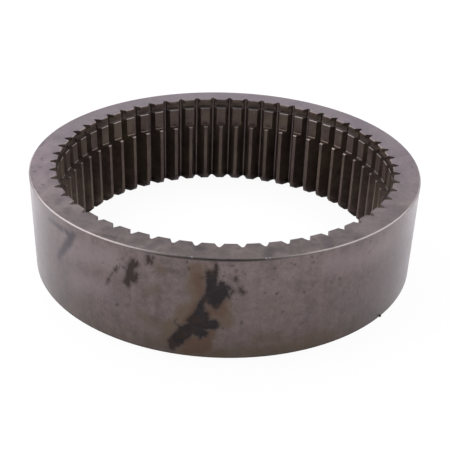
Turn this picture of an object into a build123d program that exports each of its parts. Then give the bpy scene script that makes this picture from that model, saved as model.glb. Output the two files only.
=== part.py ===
from build123d import *

import os
from math import acos, cos, pi, radians, sin, tan

# Internal ring gear of a planetary hub reduction, in millimetres.
#
# One machined steel ring with straight involute teeth right through its bore. At the upper end the
# teeth are bored back to a seat, where a splined carrier plate slides in until it meets the ends of
# the full teeth. A groove above the seat takes the snap ring that locks the plate.
#
# The ring stands on its lower face: +Z is the axis, the origin is the centre of the lower face, and
# the middle of a tooth space lies on +X.

# Gear data
tooth_count = 56
module = 4.0
pressure_angle = 25.0
addendum = 1.0 * module
dedendum = 1.35 * module
backlash = 0.4
root_rounding = 0.2

# Ring
face_width = 67.7
rim_thickness = 13.1
outer_chamfer = 0.7
tooth_end_chamfer = 3.7

# Carrier seat at the upper end: how far the teeth are bored back, and how far down
seat_recess = 5.0
seat_depth = 20.8
seat_corner_chamfer = 0.5
shoulder_chamfer = 0.6

# Snap-ring groove, under a lip at the mouth of the seat
lip_height = 2.6
lip_chamfer = 0.5
groove_width = 4.3
groove_depth = 3.0
groove_edge_chamfer = 0.4

# Radii and heights that follow
pitch_radius = module * tooth_count / 2
base_radius = pitch_radius * cos(radians(pressure_angle))
tip_radius = pitch_radius - addendum
root_radius = pitch_radius + dedendum
outer_radius = root_radius + rim_thickness
seat_radius = tip_radius + seat_recess
shoulder_height = face_width - seat_depth
groove_top = face_width - lip_height
groove_bottom = groove_top - groove_width

# Where the cutting sections start, in the open bore inside the tooth tips
start_radius = tip_radius - addendum


def involute(angle):
    """The involute function of an angle in radians."""
    return tan(angle) - angle


def flank_point(radius, side):
    """A point on a flank of the tooth space on +X, where side is 1 for its upper flank and -1 for its lower."""
    half_angle_at_pitch = pi / (2 * tooth_count) + backlash / (2 * pitch_radius)
    narrowing = involute(acos(base_radius / radius)) - involute(radians(pressure_angle))
    half_angle = half_angle_at_pitch - narrowing
    return (radius * cos(half_angle), side * radius * sin(half_angle))


def recess_corner(radius, height):
    """The corner of the recess section at a radius and a height."""
    return recess_section.vertices().sort_by_distance((radius, height))[0]


# One tooth space, from inside the tips out to its rounded root. Each flank is the arc through three
# points of its involute, which strays from it by less than 0.01 mm.
with BuildSketch() as tooth_space:
    flank_end = root_radius - root_rounding
    flank_radii = [tip_radius, (tip_radius + flank_end) / 2, flank_end]
    with BuildLine():
        upper_flank = ThreePointArc(*[flank_point(radius, 1) for radius in flank_radii])
        lower_flank = ThreePointArc(*[flank_point(radius, -1) for radius in flank_radii])
        ThreePointArc(upper_flank @ 1, (root_radius, 0), lower_flank @ 1)
        inward = Vector(start_radius - tip_radius, 0)
        Polyline(upper_flank @ 0, upper_flank @ 0 + inward, lower_flank @ 0 + inward, lower_flank @ 0)
    make_face()

with BuildPart() as ring_gear:
    # The ring, with its teeth at full height from face to face
    with BuildSketch():
        Circle(outer_radius)
        Circle(tip_radius, mode=Mode.SUBTRACT)
        with PolarLocations(0, tooth_count):
            add(tooth_space.sketch, mode=Mode.SUBTRACT)
    extrude(amount=face_width)

    # The seat and the snap-ring groove, turned into the upper end
    with BuildSketch(Plane.XZ) as recess_section:
        with BuildLine():
            Polyline(
                (start_radius, face_width),
                (seat_radius + lip_chamfer, face_width),
                (seat_radius, face_width - lip_chamfer),
                (seat_radius, shoulder_height),
                (tip_radius + shoulder_chamfer, shoulder_height),
                (start_radius, shoulder_height - shoulder_chamfer - addendum),
                close=True,
            )
        make_face()
        with Locations((seat_radius, groove_bottom)):
            Rectangle(groove_depth, groove_width, align=Align.MIN)
        groove_edges = [recess_corner(seat_radius, groove_bottom), recess_corner(seat_radius, groove_top)]
        chamfer(groove_edges, groove_edge_chamfer)
        chamfer(recess_corner(seat_radius, shoulder_height), seat_corner_chamfer)
    revolve(axis=Axis.Z, mode=Mode.SUBTRACT)

    # Chamfered tooth ends at the lower face
    with BuildSketch(Plane.XZ):
        with BuildLine():
            Polyline(
                (start_radius, 0),
                (tip_radius + tooth_end_chamfer, 0),
                (start_radius, tooth_end_chamfer + addendum),
                close=True,
            )
        make_face()
    revolve(axis=Axis.Z, mode=Mode.SUBTRACT)

    # Both outer edges
    chamfer(ring_gear.edges().filter_by(GeomType.CIRCLE).sort_by(SortBy.RADIUS)[-2:], outer_chamfer)

ring_gear.part.label = "ring_gear"

os.makedirs("parts", exist_ok=True)
export_step(ring_gear.part, "parts/ring_gear.step")
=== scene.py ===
import math

import bpy
from mathutils import Matrix, Vector


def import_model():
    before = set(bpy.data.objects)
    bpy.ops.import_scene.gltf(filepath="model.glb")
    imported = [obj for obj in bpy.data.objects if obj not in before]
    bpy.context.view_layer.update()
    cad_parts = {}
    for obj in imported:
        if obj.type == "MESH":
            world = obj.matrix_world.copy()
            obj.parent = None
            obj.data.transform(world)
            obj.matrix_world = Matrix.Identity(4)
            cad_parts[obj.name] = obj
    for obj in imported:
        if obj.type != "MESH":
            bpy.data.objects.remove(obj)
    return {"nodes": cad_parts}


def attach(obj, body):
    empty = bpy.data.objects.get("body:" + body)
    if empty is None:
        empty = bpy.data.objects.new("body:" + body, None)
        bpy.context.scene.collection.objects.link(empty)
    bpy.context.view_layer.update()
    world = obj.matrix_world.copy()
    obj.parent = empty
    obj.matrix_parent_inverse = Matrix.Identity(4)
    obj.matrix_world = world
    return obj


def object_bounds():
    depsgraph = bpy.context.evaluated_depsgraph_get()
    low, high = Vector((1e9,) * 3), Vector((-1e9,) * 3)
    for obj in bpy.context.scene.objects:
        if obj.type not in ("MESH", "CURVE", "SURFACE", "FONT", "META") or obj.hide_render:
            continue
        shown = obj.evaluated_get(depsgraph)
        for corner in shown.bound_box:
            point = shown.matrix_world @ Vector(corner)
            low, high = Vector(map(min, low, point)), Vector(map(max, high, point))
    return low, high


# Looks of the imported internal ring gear: its worn dark steel, the camera and a plain studio.
# Lengths are in metres, in the CAD frame. The gear stands on z = 0 with its axis on +Z.

MM = 0.001

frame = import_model()
cad_low, cad_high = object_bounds()
OUTER_RADIUS = (cad_high.x - cad_low.x) / 2
HEIGHT = cad_high.z - cad_low.z

# Sizes of the gear's own features, in millimetres. Those ending in UP are heights above the floor.
SHOULDER_UP = 46.9
GROOVE_UP = 60.8
TOOTH_END_UP = 3.7
TOOTH_TIP_RADIUS = 108.0
RIM_THICKNESS = 13.1
FACE_MIDDLE_IN = 6.5

# The camera stands this far round the axis from -Y, so that a tooth space lies as it should.
VIEW_TURN = math.radians(0.9926)


# --- Marks on the steel ----------------------------------------------------------------------

# Each mark is a stroke between two rounded ends, (across, up, radius), in millimetres. On the
# wall, across is the arc from the middle of the front, and up is the height above the floor.

BLACK_STAIN = [
    ((-3.4, 64.4, 0.8), (-3.3, 59.0, 1.3)),
    ((-7.0, 58.4, 1.9), (-6.4, 52.0, 2.4)),
    ((-4.1, 59.0, 1.6), (-4.7, 52.0, 2.2)),
    ((-5.4, 50.5, 2.8), (-6.4, 44.5, 2.9)),
    ((0.1, 50.8, 2.6), (0.9, 46.0, 3.3)),
    ((3.0, 50.0, 1.3), (4.3, 48.6, 0.9)),
    ((5.0, 45.4, 0.8), (6.3, 47.2, 0.7)),
    ((3.0, 44.4, 1.1), (4.1, 42.6, 0.6)),
    ((-1.0, 43.5, 3.3), (-2.0, 41.6, 3.2)),
    ((-5.6, 43.6, 3.3), (-5.0, 40.0, 3.2)),
    ((-2.6, 49.6, 1.4), (-3.4, 43.0, 2.8)),
    ((-8.6, 43.4, 1.5), (-9.2, 39.6, 1.6)),
    ((-9.6, 41.6, 1.5), (-11.2, 38.0, 1.8)),
    ((-11.2, 37.6, 2.0), (-11.8, 33.0, 2.7)),
    ((-12.2, 33.0, 2.6), (-12.4, 29.0, 4.0)),
    ((-8.8, 31.0, 1.8), (-8.4, 28.0, 2.2)),
    ((-15.0, 28.2, 2.2), (-16.6, 25.6, 2.8)),
    ((-13.0, 23.6, 3.9), (-4.3, 24.0, 3.4)),
    ((-15.5, 21.4, 4.0), (-20.5, 17.6, 4.2)),
    ((-20.5, 17.0, 4.2), (-24.5, 12.0, 3.8)),
    ((-14.0, 18.8, 3.4), (-9.6, 17.8, 2.6)),
    ((-12.6, 21.0, 2.4), (-10.6, 18.0, 2.6)),
    ((-11.6, 16.0, 1.5), (-11.6, 14.4, 0.9)),
]

BROWN_STAIN = [
    ((-1.8, 41.4, 3.2), (-3.0, 37.2, 2.4)),
    ((-24.5, 12.0, 4.1), (-26.5, 9.0, 3.8)),
    ((-27.0, 8.2, 3.2), (-28.2, 5.4, 2.0)),
    ((7.8, 54.7, 1.1), (8.1, 56.0, 0.6)),
    ((10.6, 48.8, 0.8), (11.0, 47.6, 0.8)),
    ((10.2, 47.0, 0.6), (11.9, 46.3, 1.0)),
    ((-51.0, 59.2, 1.2), (-51.8, 56.0, 2.0)),
    ((-48.6, 58.6, 1.0), (-50.6, 56.2, 1.6)),
    ((-52.4, 55.6, 2.0), (-53.6, 49.5, 2.2)),
    ((-54.4, 50.6, 1.7), (-55.0, 48.2, 1.3)),
    ((-53.4, 48.6, 2.6), (-51.4, 47.2, 2.6)),
    ((-49.6, 50.6, 1.3), (-50.0, 47.6, 1.6)),
    ((-56.4, 45.0, 1.5), (-57.2, 43.0, 0.9)),
    ((-55.2, 45.6, 2.2), (-54.9, 42.0, 1.4)),
    ((-52.4, 45.6, 1.4), (-50.6, 46.2, 1.4)),
    ((-41.5, 63.9, 1.1), (-41.2, 62.0, 1.5)),
    ((-42.0, 61.0, 0.9), (-42.2, 59.5, 0.5)),
    ((-40.1, 61.6, 1.0), (-39.8, 60.2, 0.6)),
    ((-38.4, 64.0, 0.7), (-39.5, 62.8, 0.4)),
    ((-63.2, 49.2, 0.9), (-62.6, 50.6, 0.5)),
    ((-68.2, 41.3, 0.7), (-69.2, 39.6, 0.4)),
]

GREY_STAIN = [
    ((-25.0, 25.6, 0.5), (-26.2, 23.0, 0.7)),
    ((-25.8, 21.8, 0.6), (-23.6, 20.6, 1.2)),
    ((1.5, 22.2, 0.6), (1.4, 21.6, 0.6)),
    ((-18.2, 60.8, 0.8), (-18.4, 60.0, 0.9)),
    ((-19.5, 65.4, 0.8), (-19.4, 64.4, 0.8)),
    ((-65.4, 47.2, 0.6), (-68.0, 42.0, 0.5)),
    ((-62.5, 51.4, 0.6), (-62.0, 53.0, 0.3)),
    ((-60.7, 51.0, 0.4), (-59.4, 54.4, 0.3)),
    ((-57.8, 52.7, 0.9), (-57.2, 52.7, 0.9)),
    ((-63.3, 25.1, 1.0), (-62.7, 25.6, 1.0)),
    ((11.7, 26.6, 0.5), (11.7, 25.2, 0.6)),
    ((29.0, 60.4, 0.8), (29.4, 61.0, 0.6)),
    ((40.8, 61.8, 0.8), (41.2, 62.4, 0.6)),
    ((52.2, 60.9, 0.9), (52.5, 61.6, 0.6)),
    ((35.2, 30.6, 0.5), (36.4, 31.4, 0.5)),
    ((47.6, 20.4, 0.5), (48.6, 20.8, 0.4)),
    ((24.0, 45.4, 0.7), (24.5, 45.6, 0.6)),
    ((31.0, 43.4, 0.7), (31.4, 43.7, 0.6)),
    ((48.0, 42.4, 0.8), (48.6, 42.6, 0.6)),
    ((71.0, 45.0, 0.8), (71.5, 45.3, 0.7)),
]

FAINT_STAIN = [
    ((-32.8, 63.0, 2.0), (-28.5, 62.2, 1.2)),
    ((-30.8, 58.3, 1.0), (-25.2, 57.6, 1.5)),
    ((-57.6, 59.3, 1.0), (-57.0, 59.5, 1.0)),
    ((-52.8, 64.5, 0.8), (-52.4, 64.2, 0.8)),
    ((-70.3, 36.8, 1.0), (-70.6, 36.0, 0.8)),
    ((-54.3, 34.4, 1.1), (-53.8, 33.4, 0.9)),
    ((-39.6, 23.2, 1.5), (-38.0, 22.6, 1.2)),
    ((0.3, 64.4, 0.8), (0.5, 63.8, 0.7)),
    ((4.2, 64.0, 1.1), (4.8, 63.6, 0.9)),
    ((4.4, 56.8, 1.2), (4.7, 56.0, 1.1)),
    ((11.5, 60.4, 0.8), (11.7, 59.6, 0.8)),
    ((8.5, 52.8, 0.8), (8.8, 51.6, 0.6)),
    ((-57.0, 27.2, 0.9), (-55.0, 27.8, 0.7)),
]

RUST_HALO = [
    ((-14.0, 60.0, 4.2), (-15.0, 46.0, 4.0)),
    ((-14.0, 42.0, 2.2), (-15.5, 36.0, 2.4)),
    ((-19.0, 32.0, 5.0), (-24.0, 18.0, 5.0)),
    ((-29.0, 20.0, 4.0), (-31.0, 12.0, 3.0)),
    ((1.5, 38.5, 3.4), (1.0, 30.0, 4.6)),
    ((-5.0, 33.0, 4.0), (3.0, 26.0, 4.0)),
    ((-6.0, 17.0, 3.5), (-16.0, 8.0, 7.0)),
    ((-24.0, 3.0, 3.0), (2.0, 3.5, 3.4)),
    ((-35.5, 58.0, 2.2), (-33.5, 56.5, 2.0)),
    ((-8.0, 62.0, 1.6), (-5.5, 59.5, 1.6)),
]

FAINT_RUST = [
    ((12.0, 4.5, 3.4), (70.0, 4.5, 3.4)),
    ((22.0, 13.0, 2.4), (34.0, 12.0, 2.8)),
    ((46.0, 8.0, 2.4), (64.0, 9.0, 2.4)),
    ((-43.0, 38.6, 1.0), (-37.0, 44.0, 1.2)),
    ((-47.0, 23.0, 1.6), (-38.0, 20.0, 2.4)),
    ((-44.0, 5.0, 2.0), (-34.0, 8.0, 3.2)),
]

DEEP_RUST = [
    ((-17.0, 9.5, 3.6), (-9.5, 9.0, 4.6)),
    ((-12.0, 5.0, 2.0), (-20.0, 4.5, 2.0)),
    ((-7.0, 14.0, 2.0), (-5.0, 18.0, 1.2)),
    ((-12.4, 57.0, 1.8), (-11.6, 46.0, 2.4)),
    ((-14.2, 56.0, 1.4), (-12.8, 44.0, 1.6)),
    ((-14.6, 37.0, 0.9), (-17.0, 31.0, 1.0)),
    ((-20.5, 25.5, 1.0), (-18.0, 28.5, 1.0)),
    ((-5.5, 33.5, 1.8), (0.0, 31.5, 2.0)),
    ((1.8, 38.0, 1.0), (1.2, 33.0, 1.2)),
    ((-7.5, 36.0, 1.2), (-6.5, 31.0, 1.4)),
]

BLUE_SMEAR = [
    ((-95.5, 61.5, 1.6), (-99.5, 56.0, 2.6)),
    ((-99.5, 55.5, 2.4), (-105.5, 48.0, 2.2)),
    ((-105.5, 48.0, 2.2), (-114.0, 37.5, 1.3)),
    ((-103.0, 61.0, 1.4), (-99.0, 59.0, 2.0)),
    ((-122.0, 60.5, 0.8), (-107.0, 60.5, 1.4)),
]

# Film rubbed thinner, so that the steel is paler.
PALE_BAND = [
    ((64.0, 57.0, 4.0), (108.0, 55.0, 5.0)),
    ((-66.0, 56.0, 4.0), (-100.0, 50.0, 6.0)),
    ((-72.0, 34.0, 3.0), (-96.0, 30.0, 5.0)),
]

# Painted shade: a dark line under the chamfer at the front of the wall.
FRONT_EDGE_SHADE = [
    ((-46.0, 66.5, 0.1), (-30.0, 66.6, 0.5)),
    ((-30.0, 66.6, 0.5), (-8.0, 66.7, 0.55)),
    ((-8.0, 66.7, 0.6), (-4.0, 66.7, 0.75)),
    ((-4.0, 66.7, 0.55), (16.0, 66.7, 0.5)),
    ((16.0, 66.7, 0.5), (34.0, 66.7, 0.1)),
]

# Bright nicks on the chamfer round the upper face.
EDGE_NICK = [
    ((-16.9, 67.6, 0.4), (-16.5, 66.9, 0.3)),
    ((24.2, 67.6, 0.5), (24.8, 67.1, 0.3)),
    ((26.3, 67.5, 0.3), (26.5, 67.2, 0.2)),
]

# On the upper face, across is the arc at the middle of the rim and up is the radius.

FACE_PATCH = [
    ((61.0, 127.0, 3.0), (63.0, 120.0, 3.5)),
    ((25.0, 126.5, 2.6), (27.5, 120.5, 2.6)),
    ((-18.5, 116.5, 1.8), (-13.0, 119.5, 2.4)),
    ((-40.0, 126.0, 2.4), (-38.0, 119.5, 3.0)),
    ((-118.0, 123.5, 1.6), (-122.0, 120.5, 2.4)),
    ((-104.0, 124.0, 1.4), (-109.0, 121.5, 2.0)),
]

FACE_SPECK = [
    ((56.0, 117.5, 0.4), (57.5, 120.5, 0.3)),
    ((-30.5, 117.0, 0.3), (-29.0, 120.0, 0.3)),
    ((-95.0, 126.8, 0.5), (-93.0, 126.2, 0.4)),
    ((-17.0, 121.5, 0.3), (-14.5, 123.0, 0.3)),
    ((8.5, 118.8, 0.4), (9.5, 119.4, 0.4)),
    ((190.0, 126.8, 0.5), (193.0, 126.4, 0.4)),
    ((-62.0, 126.6, 0.7), (-66.0, 125.6, 0.7)),
    ((-70.5, 127.2, 0.5), (-68.0, 126.6, 0.6)),
    ((-189.0, 123.5, 0.8), (-184.0, 122.6, 0.8)),
    ((-174.5, 124.0, 1.0), (-172.5, 122.6, 1.0)),
    ((-167.5, 127.4, 0.8), (-166.5, 126.6, 0.8)),
    ((-147.5, 123.6, 0.8), (-145.5, 122.8, 0.8)),
    ((-214.0, 128.4, 0.6), (-206.5, 128.8, 0.9)),
    ((-157.5, 128.9, 0.3), (-155.0, 128.7, 0.3)),
    ((-138.5, 128.6, 0.4), (-137.0, 128.2, 0.4)),
]


# --- Shader building -------------------------------------------------------------------------


class Graph:
    """Adds nodes to a shader tree. Each method adds nodes and returns an output socket."""

    def __init__(self, tree):
        self.tree = tree

    def add(self, kind, inputs=None, output=0, **settings):
        node = self.tree.nodes.new(kind)
        for name, value in settings.items():
            setattr(node, name, value)
        for key, value in (inputs or {}).items():
            self.plug(node.inputs[key], value)
        return node.outputs[output] if node.outputs else node

    def plug(self, socket, value):
        if isinstance(value, bpy.types.NodeSocket):
            self.tree.links.new(value, socket)
        else:
            socket.default_value = value

    def split(self, vector):
        node = self.tree.nodes.new("ShaderNodeSeparateXYZ")
        self.plug(node.inputs[0], vector)
        return node.outputs

    def math(self, operation, first, second=0.0):
        return self.add("ShaderNodeMath", {0: first, 1: second}, operation=operation)

    def vector(self, operation, first, second=(0, 0, 0)):
        return self.add("ShaderNodeVectorMath", {0: first, 1: second}, operation=operation)

    def length(self, vector):
        return self.add("ShaderNodeVectorMath", {0: vector}, 1, operation="LENGTH")

    def dot(self, first, second):
        return self.add("ShaderNodeVectorMath", {0: first, 1: second}, 1, operation="DOT_PRODUCT")

    def scaled(self, vector, factor):
        inputs = {0: vector, "Scale": factor}
        return self.add("ShaderNodeVectorMath", inputs, operation="SCALE")

    def span(self, value, start, end, low=0.0, high=1.0):
        """low where value is at start, high where it is at end, eased between."""
        inputs = {"Value": value, "From Min": start, "From Max": end, "To Min": low, "To Max": high}
        return self.add("ShaderNodeMapRange", inputs, interpolation_type="SMOOTHSTEP")

    def noise(self, where, grain, detail=3.0, roughness=0.5, output=0):
        """Noise of one value, or of a colour with output 1, whose lumps are about grain across."""
        inputs = {"Vector": where, "Scale": 1.0 / grain, "Detail": detail, "Roughness": roughness}
        return self.add("ShaderNodeTexNoise", inputs, output)

    def mix(self, share, first, second, blend="MIX"):
        node = self.tree.nodes.new("ShaderNodeMix")
        node.data_type = "RGBA"
        node.blend_type = blend
        self.plug(node.inputs[0], share)
        self.plug(node.inputs[6], first)
        self.plug(node.inputs[7], second)
        return node.outputs[2]


def stroke_distance(g, where, start, end):
    """Distance in millimetres from where to a stroke between rounded ends, below 0 inside."""
    first = Vector((start[0], start[1], 0))
    run = Vector((end[0], end[1], 0)) - first
    per_run = run / run.length_squared
    along = g.math("SUBTRACT", g.dot(where, per_run), first.dot(per_run))
    along.node.use_clamp = True
    nearest = g.vector("ADD", g.scaled(run, along), first)
    gap = g.add("ShaderNodeVectorMath", {0: where, 1: nearest}, 1, operation="DISTANCE")
    inputs = {0: along, 1: end[2] - start[2], 2: start[2]}
    radius = g.add("ShaderNodeMath", inputs, operation="MULTIPLY_ADD")
    return g.math("SUBTRACT", gap, radius)


def nearest_stroke(g, where, strokes):
    """Distance in millimetres from where to the nearest of the strokes."""
    nearest = None
    for start, end in strokes:
        distance = stroke_distance(g, where, start, end)
        nearest = distance if nearest is None else g.math("MINIMUM", nearest, distance)
    return nearest


# --- The steel -------------------------------------------------------------------------------

# Colours of the steel, of what lies on it and of painted light and shade, linear.
WALL_STEEL = (0.116, 0.0885, 0.0845, 1)
WALL_STEEL_WARM = (0.104, 0.079, 0.072, 1)
WALL_HIGH_LIT = (0.127, 0.099, 0.094, 1)
FACE_STEEL = (0.147, 0.108, 0.119, 1)
FACE_STEEL_WARM = (0.136, 0.106, 0.108, 1)
FACE_FRONT_SHADE = (0.128, 0.102, 0.094, 1)
WALL_FOOT_SHADE = (0.097, 0.075, 0.061, 1)
BORE_STEEL = (0.076, 0.055, 0.046, 1)
BORE_OLIVE = (0.084, 0.065, 0.048, 1)
BORE_TINT = (0.45, 0.38, 0.33, 1)
WORN_GLINT_EDGE = (0.17, 0.15, 0.145, 1)
EDGE_SHADE = (0.040, 0.032, 0.029, 1)
BARE_NICK = (0.42, 0.40, 0.39, 1)
CHAMFER_STEEL = (0.192, 0.171, 0.167, 1)
BLACK = (0.019, 0.017, 0.018, 1)
BLACK_BROWN = (0.028, 0.020, 0.017, 1)
RUST = (0.082, 0.057, 0.036, 1)
RUST_DEEP = (0.070, 0.038, 0.023, 1)
SMEAR = (0.038, 0.030, 0.035, 1)
PALE_STEEL = (0.190, 0.150, 0.150, 1)


def gear_steel():
    """The worn, filmed and stained steel of the whole gear."""
    material = bpy.data.materials.new("worn_gear_steel")
    material.use_nodes = True
    material.node_tree.nodes.clear()
    g = Graph(material.node_tree)
    outer = OUTER_RADIUS / MM
    top = HEIGHT / MM

    # Where a point is, in millimetres: round the ring, out from the axis and up.
    place = g.scaled(g.add("ShaderNodeTexCoord", output=3), 1 / MM)
    x, y, z = g.split(place)
    radius = g.length(g.add("ShaderNodeCombineXYZ", {0: x, 1: y}))
    bearing = g.math("SUBTRACT", g.math("ARCTAN2", x, g.math("MULTIPLY", y, -1.0)), VIEW_TURN)
    wall = g.add("ShaderNodeCombineXYZ", {0: g.math("MULTIPLY", bearing, outer), 1: z})
    face_across = g.math("MULTIPLY", bearing, outer - FACE_MIDDLE_IN)
    face = g.add("ShaderNodeCombineXYZ", {0: face_across, 1: radius})

    # Which surface it is on.
    on_wall = g.span(radius, outer - 0.25, outer - 0.05)
    on_face = g.span(z, top - 0.25, top - 0.05)
    behind_rim = g.span(radius, outer - RIM_THICKNESS + 0.6, outer - RIM_THICKNESS - 0.4)
    in_bore = g.math("MULTIPLY", behind_rim, g.span(z, top - 0.03, top - 0.2))

    # Uneven film and fine grain.
    cloud = g.noise(place, 22.0, 4.0, 0.6)
    patch = g.noise(place, 9.0, 4.0, 0.65)
    mottle = g.noise(place, 3.2, 2.0, 0.5)
    grain = g.noise(place, 1.4, 3.0, 0.7)
    lumpy = g.noise(g.vector("ADD", place, (71.0, 13.0, 5.0)), 3.4, 1.0, 0.4)
    upright = g.noise(g.vector("MULTIPLY", place, (1, 1, 0.12)), 5.0, 3.0, 0.6)
    tone = g.span(cloud, 0.34, 0.66, 0.89, 1.11)
    tone = g.math("ADD", tone, g.span(patch, 0.38, 0.62, -0.09, 0.09))
    tone = g.math("ADD", tone, g.span(mottle, 0.38, 0.62, -0.06, 0.06))
    tone = g.math("ADD", tone, g.span(grain, 0.36, 0.64, -0.07, 0.07))
    tone = g.math("ADD", tone, g.span(upright, 0.38, 0.62, -0.05, 0.05))

    # Steel of each surface, with painted light and shade.
    # Painted light and shade: the wall is lighter towards the top and darker, browner towards the
    # foot.
    low = g.span(z, 24.0, 3.0, 0.0, 0.9)
    wall_steel = g.mix(g.span(cloud, 0.4, 0.6), WALL_STEEL, WALL_STEEL_WARM)
    wall_steel = g.mix(g.span(z, 36.0, 60.0, 0.0, 0.8), wall_steel, WALL_HIGH_LIT)
    wall_steel = g.mix(low, wall_steel, WALL_FOOT_SHADE)
    face_steel = g.mix(g.span(cloud, 0.4, 0.6), FACE_STEEL, FACE_STEEL_WARM)
    # Painted shade: the upper face is darker and browner towards the front.
    face_steel = g.mix(g.span(y, 10.0, -115.0), face_steel, FACE_FRONT_SHADE)
    colour = g.mix(on_wall, face_steel, wall_steel)
    bore_steel = g.mix(g.span(cloud, 0.45, 0.65), BORE_STEEL, BORE_OLIVE)
    # Painted shade: the tooth ends at the foot of the bore are darkened towards black-brown.
    tooth_end = g.span(z, TOOTH_END_UP + 0.5, TOOTH_END_UP - 0.1, 0.0, 0.85)
    bore_steel = g.mix(tooth_end, bore_steel, BLACK_BROWN)
    colour = g.mix(in_bore, colour, bore_steel)
    tone_colour = g.add("ShaderNodeCombineColor", {0: tone, 1: tone, 2: tone})
    colour = g.mix(1.0, colour, tone_colour, "MULTIPLY")

    # The chamfer round the upper face is worn bright.
    corner = g.math("ADD", radius, z)
    on_chamfer = g.span(corner, outer + top - 1.0, outer + top - 0.8)
    worn = g.math("MULTIPLY", on_chamfer, g.span(patch, 0.3, 0.5, 0.5, 1.0))
    colour = g.mix(worn, colour, CHAMFER_STEEL)
    flat_wall = g.vector("MULTIPLY", wall, (1, 1, 0))
    nick = g.span(nearest_stroke(g, flat_wall, EDGE_NICK), 0.3, -0.1)
    colour = g.mix(g.math("MULTIPLY", nick, worn), colour, BARE_NICK)

    # Painted shade: the lower edge of the chamfer is darkened all round, which narrows its
    # highlight, and a dark line lies under it at the front.
    lower_edge = g.span(z, top - 1.2, top - 0.9)
    lower_edge = g.math("MULTIPLY", lower_edge, g.span(radius, outer - 0.5, outer - 0.2))
    colour = g.mix(g.math("MULTIPLY", lower_edge, 0.6), colour, EDGE_SHADE)
    edge = g.math("MULTIPLY", g.span(nearest_stroke(g, flat_wall, FRONT_EDGE_SHADE), 0.25, -0.25), 0.8)
    edge = g.math("MULTIPLY", edge, g.span(radius, outer - 0.8, outer - 0.5))
    colour = g.mix(edge, colour, BLACK_BROWN)

    # Grime lies along the foot of the wall.
    grime = g.math("MULTIPLY", g.span(z, 1.7, 0.7), g.span(patch, 0.35, 0.6, 0.3, 0.9))
    colour = g.mix(g.math("MULTIPLY", grime, on_wall), colour, BLACK_BROWN)

    # In the bore, the edges of the shoulder and of the snap ring groove are worn bright, in part a
    # painted highlight. Towards the two sides these, the rest of the shoulder and the top of the
    # lip are darkened: painted shade.
    near_tip = g.span(radius, TOOTH_TIP_RADIUS + 1.3, TOOTH_TIP_RADIUS + 0.8)
    shoulder = g.math("MULTIPLY", g.span(z, SHOULDER_UP - 1.0, SHOULDER_UP - 0.4), near_tip)
    shoulder = g.math("MULTIPLY", shoulder, g.span(z, SHOULDER_UP + 0.5, SHOULDER_UP + 0.2))
    ledge = g.span(z, GROOVE_UP - 0.8, GROOVE_UP - 0.4)
    ledge = g.math("MULTIPLY", ledge, g.span(z, GROOVE_UP + 0.4, GROOVE_UP + 0.1))
    bright = g.math("MAXIMUM", shoulder, g.math("MULTIPLY", ledge, in_bore))
    sides = g.span(g.math("ABSOLUTE", x), 82.0, 110.0)
    colour = g.mix(bright, colour, g.mix(sides, WORN_GLINT_EDGE, EDGE_SHADE))
    shelf = g.span(z, SHOULDER_UP - 0.7, SHOULDER_UP - 0.4)
    shelf = g.math("MULTIPLY", shelf, g.span(z, SHOULDER_UP + 1.0, SHOULDER_UP + 0.6))
    shelf = g.math("MAXIMUM", shelf, g.span(z, top - 0.8, top - 0.4, 0.0, 0.7))
    shelf = g.math("MULTIPLY", shelf, in_bore)
    side_shade = g.math("MULTIPLY", shelf, sides)
    colour = g.mix(side_shade, colour, EDGE_SHADE)

    # For the marks, the point is shifted a little by noise, so that their edges are ragged.
    middle = (0.5, 0.5, 0.5)
    lumps = g.vector("SUBTRACT", g.noise(place, 4.5, 2.0, 0.5, 1), middle)
    crumbs = g.vector("SUBTRACT", g.noise(place, 1.1, 2.0, 0.6, 1), middle)

    def ragged(where, coarse, fine):
        shift = g.vector("ADD", g.scaled(lumps, coarse), g.scaled(crumbs, fine))
        return g.vector("MULTIPLY", g.vector("ADD", where, shift), (1, 1, 0))

    def marks(where, strokes, soft, inside):
        return g.span(nearest_stroke(g, where, strokes), soft, -inside)

    wall_edge = ragged(wall, 2.2, 2.4)
    wall_loose = ragged(wall, 6.0, 3.0)
    face_edge = ragged(face, 3.0, 1.2)

    def paint(colour, share, region, pigment, strength):
        share = g.math("MULTIPLY", g.math("MULTIPLY", share, region), strength)
        return g.mix(share, colour, pigment)

    colour = paint(colour, marks(wall_loose, PALE_BAND, 9.0, 5.0), on_wall, PALE_STEEL, 0.55)
    colour = paint(colour, marks(wall_loose, RUST_HALO, 3.5, 2.0), on_wall, RUST, 0.85)
    colour = paint(colour, marks(wall_loose, FAINT_RUST, 4.5, 2.5), on_wall, RUST, 0.65)
    colour = paint(colour, marks(wall_loose, DEEP_RUST, 2.5, 1.5), on_wall, RUST_DEEP, 0.8)
    colour = paint(colour, marks(wall_edge, BLUE_SMEAR, 2.4, 1.6), on_wall, SMEAR, 0.95)
    speck = g.math("MULTIPLY", g.span(lumpy, 0.68, 0.74), g.span(z, 20.0, 62.0, 0.4, 1.0))
    colour = paint(colour, speck, on_wall, BLACK_BROWN, 0.4)
    colour = paint(colour, marks(wall_edge, FAINT_STAIN, 1.0, 0.6), on_wall, BLACK, 0.22)
    colour = paint(colour, marks(wall_edge, GREY_STAIN, 0.5, 0.5), on_wall, BLACK, 0.6)
    stain_edge = nearest_stroke(g, wall_edge, BLACK_STAIN)
    brown_edge = nearest_stroke(g, wall_edge, BROWN_STAIN)
    fringe = g.span(g.math("MINIMUM", stain_edge, brown_edge), 2.2, -0.4)
    colour = paint(colour, fringe, on_wall, BLACK_BROWN, 0.62)
    brown = g.span(brown_edge, 0.5, -1.0)
    colour = paint(colour, brown, on_wall, BLACK_BROWN, 0.82)
    black = g.span(stain_edge, 0.6, -1.2)
    pitch = g.mix(g.span(patch, 0.48, 0.66), BLACK, BLACK_BROWN)
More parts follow.
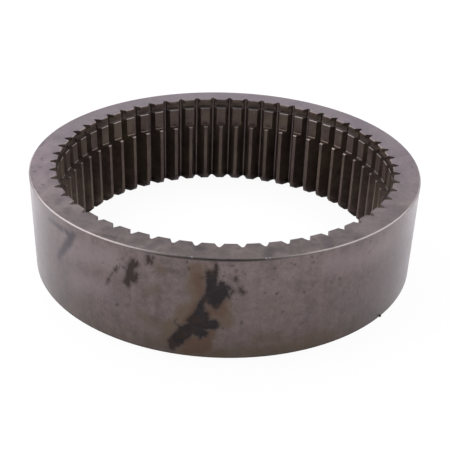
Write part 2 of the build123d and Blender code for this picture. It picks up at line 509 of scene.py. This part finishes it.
    cover = g.math("MULTIPLY", black, g.span(mottle, 0.4, 0.62, 0.94, 0.8))
    colour = paint(colour, cover, on_wall, pitch, 1.0)
    colour = paint(colour, marks(face_edge, FACE_PATCH, 2.0, 1.5), on_face, SMEAR, 0.5)
    colour = paint(colour, marks(face_edge, FACE_SPECK, 0.6, 0.5), on_face, BLACK, 0.6)

    # Gloss: the stains and the bore are dull, the rest lightly oiled.
    dull = g.math("MAXIMUM", g.math("MAXIMUM", black, brown), in_bore)
    oiled = g.span(dull, 0.0, 1.0, 0.4, 0.1)
    bore_tint = g.mix(in_bore, (1, 1, 1, 1), BORE_TINT)
    metallic = g.span(in_bore, 0.0, 1.0, 1.0, 0.5)
    rough = g.math("ADD", g.span(patch, 0.3, 0.7, 0.30, 0.38), g.math("MULTIPLY", black, 0.15))
    rough = g.math("ADD", rough, g.math("MULTIPLY", side_shade, 0.2))
    bump = {"Height": grain, "Strength": 0.15, "Distance": 0.05 * MM}
    surface = {
        "Base Color": colour,
        "Metallic": metallic,
        "Roughness": rough,
        "Normal": g.add("ShaderNodeBump", bump),
        "Specular Tint": bore_tint,
        "Coat Weight": oiled,
        "Coat Roughness": 0.28,
    }
    shader = g.add("ShaderNodeBsdfPrincipled", surface)
    g.add("ShaderNodeOutputMaterial", {"Surface": shader})
    return material


# --- Studio ----------------------------------------------------------------------------------


# Colours of the world by direction, linear. The wall's two ends mirror the band behind the gear.
WORLD_BEHIND = (1.28, 1.24, 1.36, 1)
WORLD_SIDES = (0.5, 0.5, 0.52, 1)
WORLD_FRONT = (0.3, 0.3, 0.31, 1)
WORLD_ABOVE = (0.2, 0.2, 0.21, 1)
WHITE = (1, 1, 1, 1)

FLOOR_PAPER = (0.80, 0.80, 0.80, 1)
FLOOR_GLOW = (0.98, 0.95, 1.05, 1)

# Name, place and size in metres, and watts.
SOFTBOXES = [
    ("left_softbox", (-1.15, 0.1, 1.05), (1.6, 1.6), 34.0),
    ("right_softbox", (1.15, 0.1, 1.05), (1.6, 1.6), 24.0),
    ("left_back_softbox", (-1.05, 1.25, 0.75), (0.8, 0.8), 13.0),
    ("right_back_softbox", (1.05, 1.25, 0.75), (0.8, 0.8), 11.5),
    ("top_softbox", (0.0, 0.9, 1.4), (1.2, 0.6), 8.0),
]


def floor():
    """Pale paper that looks white, is partly mirrored in the metal and keeps the shadow."""
    bpy.ops.mesh.primitive_plane_add(size=12.0, location=(0, 0, 0))
    plane = bpy.context.object
    plane.name = "studio_floor"
    material = bpy.data.materials.new("pale_paper")
    material.use_nodes = True
    material.node_tree.nodes.clear()
    g = Graph(material.node_tree)
    paper = g.add("ShaderNodeBsdfDiffuse", {"Color": FLOOR_PAPER})
    light_path = g.tree.nodes.new("ShaderNodeLightPath").outputs
    glow = g.mix(light_path["Is Camera Ray"], FLOOR_GLOW, WHITE)
    white = g.add("ShaderNodeEmission", {"Color": glow, "Strength": 1.0})
    share = g.math("MULTIPLY", light_path["Is Camera Ray"], 0.93)
    share = g.math("ADD", share, g.math("MULTIPLY", light_path["Is Glossy Ray"], 0.35))
    share = g.math("ADD", share, g.math("MULTIPLY", light_path["Is Transmission Ray"], 0.35))
    surface = g.add("ShaderNodeMixShader", {0: share, 1: paper, 2: white})
    g.add("ShaderNodeOutputMaterial", {"Surface": surface})
    plane.data.materials.append(material)


def world():
    """A studio that is graded by direction, and plain white where the camera sees it."""
    scene_world = bpy.data.worlds.new("studio")
    bpy.context.scene.world = scene_world
    scene_world.use_nodes = True
    scene_world.node_tree.nodes.clear()
    g = Graph(scene_world.node_tree)
    direction = g.add("ShaderNodeTexCoord", output=0)
    across, along, up = g.split(direction)
    side = g.span(g.math("ABSOLUTE", across), 0.35, 0.75)
    behind = g.mix(side, WORLD_BEHIND, WORLD_SIDES)
    horizon = g.mix(g.span(along, -0.2, 0.2), WORLD_FRONT, behind)
    tone = g.mix(g.span(up, 0.3, 0.5), horizon, WORLD_ABOVE)
    seen = g.add("ShaderNodeLightPath", output=0)
    colour = g.mix(seen, tone, WHITE)
    background = g.add("ShaderNodeBackground", {"Color": colour, "Strength": 1.0})
    g.add("ShaderNodeOutputWorld", {"Surface": background})


def softbox(name, place, size, power):
    """An area lamp aimed at the middle of the gear."""
    lamp = bpy.data.lights.new(name, "AREA")
    lamp.shape = "RECTANGLE"
    lamp.size, lamp.size_y = size
    lamp.energy = power
    lamp.color = (1.0, 0.97, 1.0)
    box = bpy.data.objects.new(name, lamp)
    bpy.context.scene.collection.objects.link(box)
    box.location = place
    aim = Vector((0, 0, HEIGHT / 2)) - Vector(place)
    box.rotation_euler = aim.to_track_quat("-Z", "Y").to_euler()


def camera():
    """The photographed view. Its distance is in outer radii, from the middle of the upper face."""
    distance = 4.4299 * OUTER_RADIUS
    elevation = math.radians(24.6038)
    tilt = math.radians(-4.4251)
    pan = math.radians(0.1021)
    roll = math.radians(1.6477)

    lens = bpy.data.cameras.new("camera")
    lens.sensor_width = 36.0
    lens.lens = 67.977
    lens.clip_start = 0.01
    eye = bpy.data.objects.new("camera", lens)
    bpy.context.scene.collection.objects.link(eye)
    bpy.context.scene.camera = eye

    position = Vector((0, -distance * math.cos(elevation), distance * math.sin(elevation)))
    forward = -position.normalized()
    right = Vector((1, 0, 0))
    up = right.cross(forward)
    forward, up = (
        forward * math.cos(tilt) + up * math.sin(tilt),
        up * math.cos(tilt) - forward * math.sin(tilt),
    )
    right, forward = (
        right * math.cos(pan) - forward * math.sin(pan),
        forward * math.cos(pan) + right * math.sin(pan),
    )
    right, up = (
        right * math.cos(roll) + up * math.sin(roll),
        up * math.cos(roll) - right * math.sin(roll),
    )
    axes = Matrix((right, up, -forward)).transposed().to_4x4()
    axes.translation = position + Vector((0, 0, HEIGHT))
    eye.matrix_world = Matrix.Rotation(VIEW_TURN, 4, "Z") @ axes


def soften_edges(piece):
    """Breaks the sharp edges by a small rounding, as wear and deburring leave them."""
    weld = piece.modifiers.new("weld", "WELD")
    weld.merge_threshold = 0.002 * MM
    flat = piece.modifiers.new("flat_faces", "DECIMATE")
    flat.decimate_type = "DISSOLVE"
    flat.angle_limit = math.radians(0.5)
    rounding = piece.modifiers.new("rounding", "BEVEL")
    rounding.width = 0.4 * MM
    rounding.segments = 2
    rounding.limit_method = "ANGLE"
    rounding.angle_limit = math.radians(28)
    shading = piece.modifiers.new("shading", "WEIGHTED_NORMAL")
    shading.weight = 60


def burr(body):
    """A small dark burr that stands out from the foot of the wall, on the right of the front."""
    bpy.ops.mesh.primitive_ico_sphere_add(subdivisions=2, radius=0.9 * MM)
    lump = bpy.context.object
    lump.name = "foot_burr"
    turn = VIEW_TURN + 114.0 * MM / OUTER_RADIUS
    reach = OUTER_RADIUS + 0.1 * MM
    height = 1.1 * MM
    place = Vector((reach * math.sin(turn), -reach * math.cos(turn), height))
    lump.data.transform(Matrix.Translation(place))
    material = bpy.data.materials.new("black_grime")
    material.use_nodes = True
    material.node_tree.nodes.clear()
    g = Graph(material.node_tree)
    shader = g.add("ShaderNodeBsdfPrincipled", {"Base Color": BLACK_BROWN, "Roughness": 0.6})
    g.add("ShaderNodeOutputMaterial", {"Surface": shader})
    lump.data.materials.append(material)
    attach(lump, body)


gear = frame["nodes"]["ring_gear"]
gear.material_slots[0].material = gear_steel()
burr("root")
soften_edges(gear)
floor()
world()
for name, place, size, power in SOFTBOXES:
    softbox(name, place, size, power)
camera()

bpy.context.scene.view_settings.view_transform = "Standard"
